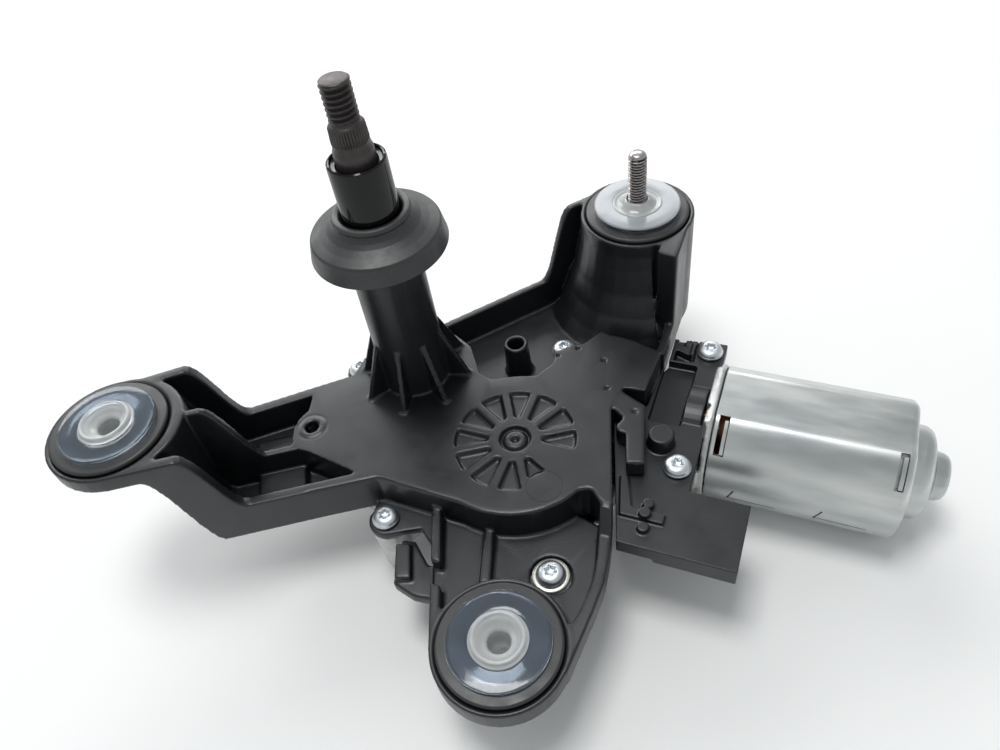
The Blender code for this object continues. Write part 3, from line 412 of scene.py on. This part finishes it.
def make_bracket():
    """The moulded bracket; its pockets are filled and cut again where the photo has them."""
    obj = as_object("bracket_moulding", [cad("mounting_bracket")])
    plug = [(5.6, -2.2), (19.3, -2.2), (19.3, -0.01), (5.6, -0.01)]
    cut(obj, [moved(turned(plug, 64), *WHEEL)], "UNION")
    cut(obj, bracket_cuts())
    hub = [(1.1, -2.0), (3.6, -2.0), (3.5, -0.8), (3.0, -0.45), (1.5, -0.45), (1.1, -0.8)]
    collar = [(2.3, -2.0), (4.2, -2.0), (4.2, 0.25), (2.9, 0.3), (2.3, 0.0)]
    ear = prism(circle(EAR, 2.3, 20), CARD_TOP + 0.4, -0.2)
    steps = [prism([arm(s, t) for s, t in corners], BASE + 1, FLOOR + 3.2)
             for corners in (box(40, 55, -37, -22), box(42, 56, -19.5, -8))]
    whole = as_object("bracket_moulding", [to_bmesh(obj), moved(turned(hub, 32), *WHEEL),
                                           moved(turned(collar, 32), *PIN_BOSS), ear] + steps)
    front_edge = [arm(36.0, -39.0), (6.5, -42.2), *arc(WHEEL, 26.8, -105, -27, 12),
                  (67.7, -28.3), (70.8, -31.4)]
    x, y, rim = EYES["rear"]
    tower_foot = [(x, y, rim - 40), (x, y, rim - 28)]
    edges = [([(x, y, 0.0) for x, y in front_edge], 2.2), (tower_foot, 23)]
    moulded(whole, 0.42, 7, 0.16, edges)
    place(whole, "base", "black_plastic", LOOKS["black_plastic"], "mounting_bracket")
    ring = turned([(5.13, -0.6), (5.34, -0.6), (5.34, 0.03), (5.13, 0.03)], 96)
    piece("ejector_witness_ring", [moved(ring, *WITNESS_RING)], "base", "black_plastic", ROOT_SHADE_AND_DARK_RING)


def wedge_pockets():
    """Eleven wedge pockets over the worm wheel, 30 degrees apart, the last one cut short."""
    inner, outer, outer_of_last, depth = 8.3, 18.3, 14.9, 1.5
    pockets = []
    for k in range(11):
        angle = 30 * k + 15
        reach = outer_of_last if k == 10 else outer
        outline = arc((0, 0), inner, angle - 5, angle + 5, 1)
        outline += arc((0, 0), reach, angle + 10.5, angle - 10.5, 4)
        pockets.append(moved(prism(outline, -depth, 1.0), *WHEEL))
    return pockets


def to_bmesh(obj):
    """The mesh of an object, which goes away."""
    bm = bmesh.new()
    bm.from_mesh(obj.data)
    bpy.data.objects.remove(obj, do_unlink=True)
    return bm


# ---- spindle ---------------------------------------------------------------------------------
def thread(radius, pitch, depth, top, bottom):
    """A radius rule that cuts a right-hand vee thread between two heights."""
    def rule(r, z, a):
        if not bottom <= z <= top or r < radius - 0.01:
            return r
        phase = (z / pitch - a / (2 * math.pi)) % 1.0
        fade = min(1.0, (top - z) / pitch * 1.4, (z - bottom) / pitch * 1.4)
        return r - depth * fade * min(1.0, max(0.0, 1.25 - 3.0 * abs(phase - 0.5)))
    return rule


def make_spindle():
    """The output spindle with its knurl and thread, the sleeve round it and its collar."""
    rule = thread(4.0, 1.5, 0.8, 102.9, 91.7)

    def shape(r, z, a):
        if 86.3 < z < 90.7:
            return r + 0.34 * abs(math.sin(19 * a)) - 0.14
        return rule(r, z, a)

    profile = [(0, -14.6), (3.0, -14.6), (3.0, -12.0), (5.4, -11.9), (5.4, 83.6), (5.35, 84.0),
               (5.1, 84.4), (4.86, 86.25), (4.84, 86.4), (4.72, 88.5), (4.6, 90.6),
               (4.58, 90.75), (4.35, 91.1), (4.0, 91.3)]
    rows = 92
    profile += [(4.0, 91.4 + (102.2 - 91.4) * i / rows) for i in range(rows + 1)]
    profile += [(3.75, 102.4), (3.5, 102.54), (3.3, 102.6), (0, 102.6)]
    spindle = piece("spindle", [turned(profile, 228, shape)], "output_shaft",
                    "phosphated_steel", LOOKS["phosphated_steel"], "output_shaft", smooth=50)
    # Painted shade in the roots of the spindle's thread.
    shade_thread_roots(spindle, 0, 0, 3.62, 91.6, 102.0, ROOT_SHADE_AND_DARK_RING)

    sleeve = [(6.9, 1.0), (8.05, 1.0), (8.05, 80.2), (7.9, 80.75), (7.5, 81.0), (7.15, 80.85),
              (7.0, 80.4), (6.9, 80.1), (6.7, 79.95), (6.1, 79.95), (5.85, 79.85),
              (5.75, 79.6), (5.75, 79.0), (6.9, 79.0)]
    piece("spindle_bush_sleeve", [turned(sleeve, 72)], "base", "gloss_black_plastic",
          LOOKS["gloss_black_plastic"], "spindle_sleeve", smooth=40)

    collar = [(8.3, 57.3), (10.8, 57.3), (10.8, 51.0), (12.4, 50.9), (18.8, 52.7),
              (19.65, 53.4), (18.5, 58.7), (18.1, 59.2), (15.4, 60.2), (13.2, 61.3),
              (11.9, 62.3), (11.15, 63.3), (10.95, 63.75), (11.25, 64.2), (11.2, 64.8),
              (10.7, 65.3), (9.9, 65.5), (9.2, 65.3), (8.7, 64.8), (8.5, 64.0)]
    piece("spindle_seal_collar", [turned(rounded(collar, 0.25), 96)], "base", "black_rubber",
          LOOKS["black_rubber"], "sealing_collar", smooth=32)


# ---- eyes ------------------------------------------------------------------------------------
def make_eyes():
    """A rubber grommet, a flat disc and a flanged bush in each eye, and the tower's stud."""
    rubber = [(6.5, -8.5), (14.4, -8.5), (15.2, -7.8), (15.2, -5.9), (12.3, -5.9),
              (12.3, -3.1), (15.85, -3.1), (15.85, -0.55), (16.7, -0.45), (16.75, 0.5),
              (16.3, 0.95), (13.4, 1.05), (13.0, 1.35), (6.5, 1.35)]
    disc = [(7.95, 1.5), (13.3, 1.5), (13.85, 1.75), (13.9, 2.2), (13.6, 2.6), (7.95, 2.6)]
    tower_cup = [(3.45, -9.9), (6.1, -9.9), (6.1, 1.4), (8.02, 1.4), (8.02, 3.5), (7.6, 3.75),
                 (6.9, 3.55), (6.2, 3.4), (5.2, 3.9), (4.3, 4.9), (3.7, 5.3), (3.45, 5.2)]
    open_cup = [(3.1, -9.9), (6.1, -9.9), (6.1, 1.4), (8.0, 1.4), (8.0, 2.6), (7.5, 2.95),
                (7.2, 3.7), (6.8, 4.0), (6.3, 3.9), (5.7, 3.0), (4.6, 1.8), (3.6, 1.2),
                (3.1, 0.6)]
    for name, (x, y, rim) in EYES.items():
        on_tower = name == "rear"
        lift = 0.9 if on_tower else 0.0
        piece(f"rubber_grommet_{name}", [moved(turned(rounded(rubber, 0.3), 72), x, y, rim)],
              "base", "black_rubber", LOOKS["black_rubber"], f"grommet_{name}", smooth=60)
        piece(f"eye_disc_{name}", [moved(turned(rounded(disc, 0.25), 96), x, y, rim + lift)],
              "base", "natural_nylon", MILKY if on_tower else LOOKS["natural_nylon"], smooth=50)
        cup = tower_cup if on_tower else open_cup
        piece(f"eye_bush_{name}", [moved(turned(rounded(cup, 0.35), 96), x, y, rim)], "base",
              "natural_nylon", CUP, f"bush_{name}", smooth=60)

    x, y, rim = EYES["rear"]
    profile = [(0, -13.5), (6.2, -13.5), (6.2, -10.3), (2.95, -10.3)]
    rows = 170
    profile += [(2.95, 0.5 + 20.0 * i / rows) for i in range(rows + 1)]
    profile += [(2.75, 21.0), (2.45, 21.5), (1.9, 21.9), (0, 22.0)]
    solid = turned(profile, 64, thread(2.95, 1.0, 0.52, 21.2, 3.4))
    stud = piece("tower_stud", [moved(solid, x, y, rim)], "base", "steel", STUD,
                 "mounting_stud", smooth=50)
    # Painted shade in the roots of the stud's thread.
    shade_thread_roots(stud, x, y, 2.68, rim + 3.4, rim + 21.2, ROOT_SHADE_AND_DARK_RING)


# ---- screws ----------------------------------------------------------------------------------
def lobed(r, z, a):
    """The six-lobed drive recess in a screw's head."""
    if z < 1.0 or r > 1.8:
        return r
    return r * (1 + 0.13 * math.cos(6 * a))


def make_screws():
    profile = [(0, -12.5), (1.6, -12.5), (2.05, -11.6), (2.05, 0.3), (3.95, 0.3), (4.1, 0.5),
               (4.1, 0.95), (3.95, 1.1), (3.85, 1.2), (3.8, 1.6), (3.55, 2.1), (3.05, 2.5),
               (2.4, 2.74), (1.9, 2.82), (1.68, 2.8), (1.55, 2.6), (1.45, 1.5), (1.35, 1.4),
               (0, 1.25)]
    for name, (x, y, seat) in SCREWS.items():
        solid = moved(turned(profile, 60, lobed), x, y, seat)
        piece(f"torx_{name}", [solid], "base", "zinc_plated_steel",
              LOOKS["zinc_plated_steel"], name, smooth=50)


# ---- motor can -------------------------------------------------------------------------------
def can_section(radius, flat, x, steps=112):
    """One ring of the can: a circle cut by an upper and a lower flat."""
    ring = []
    for k in range(steps):
        a = 2 * math.pi * k / steps
        r = min(radius, flat / max(abs(math.sin(a)), 1e-6))
        ring.append(Vector((x, MOTOR_Y - r * math.cos(a), MOTOR_Z + r * math.sin(a))))
    return ring


def skin(rings):
    """A closed tube through rings of points, capped at both ends."""
    bm = bmesh.new()
    loops = [[bm.verts.new(p) for p in ring] for ring in rings]
    for one, two in zip(loops, loops[1:]):
        count = len(one)
        for k in range(count):
            bm.faces.new((one[k], one[(k + 1) % count], two[(k + 1) % count], two[k]))
    bm.faces.new(loops[0])
    bm.faces.new(loops[-1])
    bmesh.ops.recalc_face_normals(bm, faces=bm.faces)
    return bm


def on_can(x, angle, radius=CAN_RADIUS):
    """A point at an angle round the can, from its front side up over its top."""
    a = math.radians(angle)
    return Vector((x, MOTOR_Y - radius * math.cos(a), MOTOR_Z + radius * math.sin(a)))


def slit(start, end, width, low, high):
    """A thin strip along a straight stretch of seam, standing square to the can's wall."""
    run = end - start
    middle = (start + end) / 2
    outward = Vector((0, middle.y - MOTOR_Y, middle.z - MOTOR_Z)).normalized()
    side = run.normalized().cross(outward)
    solid = prism(box(-width / 2, width / 2, low, high), -width / 2, run.length + width / 2)
    frame_of_seam = Matrix((side, outward, run.normalized())).transposed().to_4x4()
    solid.transform(Matrix.Translation(start) @ frame_of_seam)
    bmesh.ops.recalc_face_normals(solid, faces=solid.faces)
    return solid


def wedge(x0, x1, low, high, inner, outer):
    """A block that follows the can's curve between two angles."""
    points = [on_can(0, low + (high - low) * i / 8, outer) for i in range(9)]
    points += [on_can(0, high - (high - low) * i / 8, inner) for i in range(9)]
    return skin([[Vector((x, p.y, p.z)) for p in points] for x in (x0, x1)])


def inset_section(amount, x):
    """A ring of the can's barrel, drawn in from its outside."""
    return can_section(CAN_RADIUS - amount, CAN_FLAT - amount, x)


def make_can():
    """The rolled can: a barrel with two flats, a rounder nose and a dovetailed seam."""
    mouth, shoulder, fillet, no_flat = 96.0, 150.5, 2.2, 99
    rings = [inset_section(1.2, 100.5), inset_section(1.2, mouth), inset_section(0.25, mouth),
             inset_section(0, mouth + 0.3)]
    rings += [inset_section(0, x) for x in (110, 124, 138)]
    for i in range(7):
        a = math.radians(90 * i / 6)
        drop = fillet * (1 - math.cos(a))
        rings.append(inset_section(drop, shoulder - fillet + fillet * math.sin(a)))
    for r, x in ((14.9, 150.6), (14.3, 151.0), (14.05, 151.7), (14.0, 153.0), (13.8, 154.1),
                 (13.3, 155.1), (12.5, 155.9), (11.4, 156.45), (10.0, 156.8), (8.6, 157.1),
                 (7.7, 157.6), (7.3, 158.3), (7.15, 159.2), (6.95, 160.1), (6.4, 161.0),
                 (5.5, 161.6), (4.3, 161.95), (1.0, 162.0)):
        rings.append(can_section(r, no_flat, x))
    obj = as_object("motor_can_shell", [skin(rings)])

    # The seam's corners, each an X and an angle round the can.
    seam = [(95.5, -3.2), (104.6, -3.0), (103.1, -16.4), (117.0, -17.0), (115.5, -3.1),
            (129.8, -3.0), (128.0, -16.3), (142.3, -16.8), (140.8, -3.0), (148.2, -2.6)]
    # Each slit is cut through the wall, and a dark strip just under the can's surface fills it as
    # painted shadow in the seam's gap.
    cuts, seam_shadow_strips = [], []
    for (x0, a0), (x1, a1) in zip(seam, seam[1:]):
        count = 4 if abs(a1 - a0) > 5 else 1
        stops = [on_can(x0 + (x1 - x0) * i / count, a0 + (a1 - a0) * i / count)
                 for i in range(count + 1)]
        for start, end in zip(stops, stops[1:]):
            cuts.append(slit(start, end, 0.56, -1.0, 1.0))
            seam_shadow_strips.append(slit(start, end, 0.62, -0.9, -0.05))
    piece("motor_can_seam_shadow", seam_shadow_strips, "base", "zinc_plated_steel", SEAM_SHADOW, smooth=30)

    # Two windows in the wall, each with a tab standing in it.
    cuts += [wedge(97.2, 100.2, 31, 65, 17.8, 23), wedge(145.9, 148.3, 34, 64, 17.8, 23)]
    cut(obj, cuts)
    tabs = [wedge(98.9, 99.9, 32, 61, 17.6, 20.6), wedge(146.9, 148.0, 35, 61, 17.6, 20.7)]
    whole = as_object("motor_can_shell", [to_bmesh(obj)] + tabs)
    place(whole, "base", "zinc_plated_steel", CAN, "motor_can", smooth=28)


# ---- castings and card -----------------------------------------------------------------------
def make_housing():
    """The die-cast housing, ribbed below the wheel, with the turned ring at its lobe screw."""
    solids = [cad("gear_housing")]
    for k in range(8):
        rib = prism(box(6, 30.8, -0.9, 0.9), -35.5, -33.6)
        solids.append(moved(rib, *WHEEL, turn=45 * k))
    solids.append(prism(box(92.6, 94.6, 9.4, 24.6), -8, 1.9))
    solids.append(prism(box(92.9, 94.6, 2.6, 7.4), -8, 1.4))
    obj = as_object("gear_housing_casting", solids)
    moulded(obj, 0.55, 4, 0.2)
    place(obj, "base", "cast_aluminium", LOOKS["cast_aluminium"], "gear_housing")

    x, y, seat = SCREWS["cover_screw_front_right"]
    ring = [(2.6, seat - 1.2), (5.2, seat - 1.2), (5.2, seat + 0.15), (5.0, seat + 0.28),
            (4.3, seat + 0.28), (4.15, seat + 0.1), (2.6, seat + 0.1)]
    piece("lobe_screw_ring", [moved(turned(ring, 48), x, y)], "base", "cast_aluminium", RING,
          smooth=40)


def make_card():
    """The brush card with its connector, grooved beside the rear motor screw."""
    obj = as_object("card_moulding", [cad("connector_housing")])
    cuts = [prism(box(77.9, 80.2, 38.2, 42), -7.6, 0),
            prism(box(82.0, 82.5, 32, 41.8), -7.3, 0),
            prism(box(84.0, 84.5, 32, 41.8), -7.3, 0)]
    cut(obj, cuts)
    moulded(obj, 0.26, 2, 0.16)
    place(obj, "base", "black_plastic", LOOKS["black_plastic"], "connector_housing")


def finish_cad_nodes():
    """CAD nodes that stay in view get the finish of their slot."""
    for entry in frame["record"]["subparts"]:
        node = frame["nodes"][entry["node"]]
        node.data.materials.clear()
        node.data.materials.append(LOOKS[entry["material_slot"]])


# ---- stage, lights and camera ----------------------------------------------------------------
def make_stage():
    """A white table a hair below the part."""
    bm = bmesh.new()
    bmesh.ops.create_grid(bm, x_segments=2, y_segments=2, size=12.0)
    mesh = bpy.data.meshes.new("table_top")
    bm.to_mesh(mesh)
    bm.free()
    table = bpy.data.objects.new("table_top", mesh)
    bpy.context.scene.collection.objects.link(table)
    table.location.z = -0.0002
    mesh.materials.append(finish("white_table", (0.86, 0.86, 0.855), 0.55, vary=(6, 0.01),
                                 grain=(300, 0.02)))


def area_light(name, place_at, aim, size, power, colour=(1, 1, 1)):
    lamp = bpy.data.lights.new(name, "AREA")
    lamp.shape = "RECTANGLE"
    lamp.size, lamp.size_y = size
    lamp.energy = power
    lamp.color = colour
    obj = bpy.data.objects.new(name, lamp)
    obj.location = place_at
    obj.rotation_euler = (Vector(aim) - Vector(place_at)).to_track_quat("-Z", "Y").to_euler()
    bpy.context.scene.collection.objects.link(obj)


def make_lights():
    """A pale room, a broad lamp overhead and a low bright panel behind to the left."""
    world = bpy.data.worlds.new("studio")
    bpy.context.scene.world = world
    world.use_nodes = True
    tree = world.node_tree
    background = tree.nodes["Background"]
    background.inputs["Color"].default_value = (0.94, 0.98, 1.0, 1.0)
    coords = tree.nodes.new("ShaderNodeTexCoord")
    split = tree.nodes.new("ShaderNodeSeparateXYZ")
    height = tree.nodes.new("ShaderNodeMapRange")
    height.inputs["From Min"].default_value = 0.2
    height.inputs["From Max"].default_value = 0.95
    height.inputs["To Min"].default_value = 0.62
    height.inputs["To Max"].default_value = 0.42
    tree.links.new(coords.outputs["Generated"], split.inputs["Vector"])
    tree.links.new(split.outputs["Z"], height.inputs["Value"])
    tree.links.new(height.outputs["Result"], background.inputs["Strength"])
    area_light("overhead_lamp", (-0.2, 0.05, 1.5), (0, 0, 0), (0.55, 0.55), 10.5)
    area_light("low_panel", (-0.80, 1.06, 0.80), (0, 0, 0.03), (1.9, 0.55), 15.5)


def make_camera():
    """The camera that the photo was taken from, as worked out from the part's own points."""
    lens = bpy.data.cameras.new("camera")
    lens.sensor_width = 36.0
    lens.lens = 28.84
    lens.clip_start = 0.01
    obj = bpy.data.objects.new("camera", lens)
    right = Vector((0.928, 0.353, -0.117)).normalized()
    up = Vector((-0.190, 0.720, 0.668))
    up = (up - right * up.dot(right)).normalized()
    back = right.cross(up)
    turn = Matrix((right, up, back)).transposed().to_4x4()
    obj.matrix_world = Matrix.Translation((0.06975, -0.1425, 0.2254)) @ turn
    bpy.context.scene.collection.objects.link(obj)
    bpy.context.scene.camera = obj
    bpy.context.scene.view_settings.view_transform = "Standard"


make_camera()
finish_cad_nodes()
make_bracket()
make_spindle()
make_eyes()
make_screws()
make_can()
make_housing()
make_card()
make_stage()
make_lights()
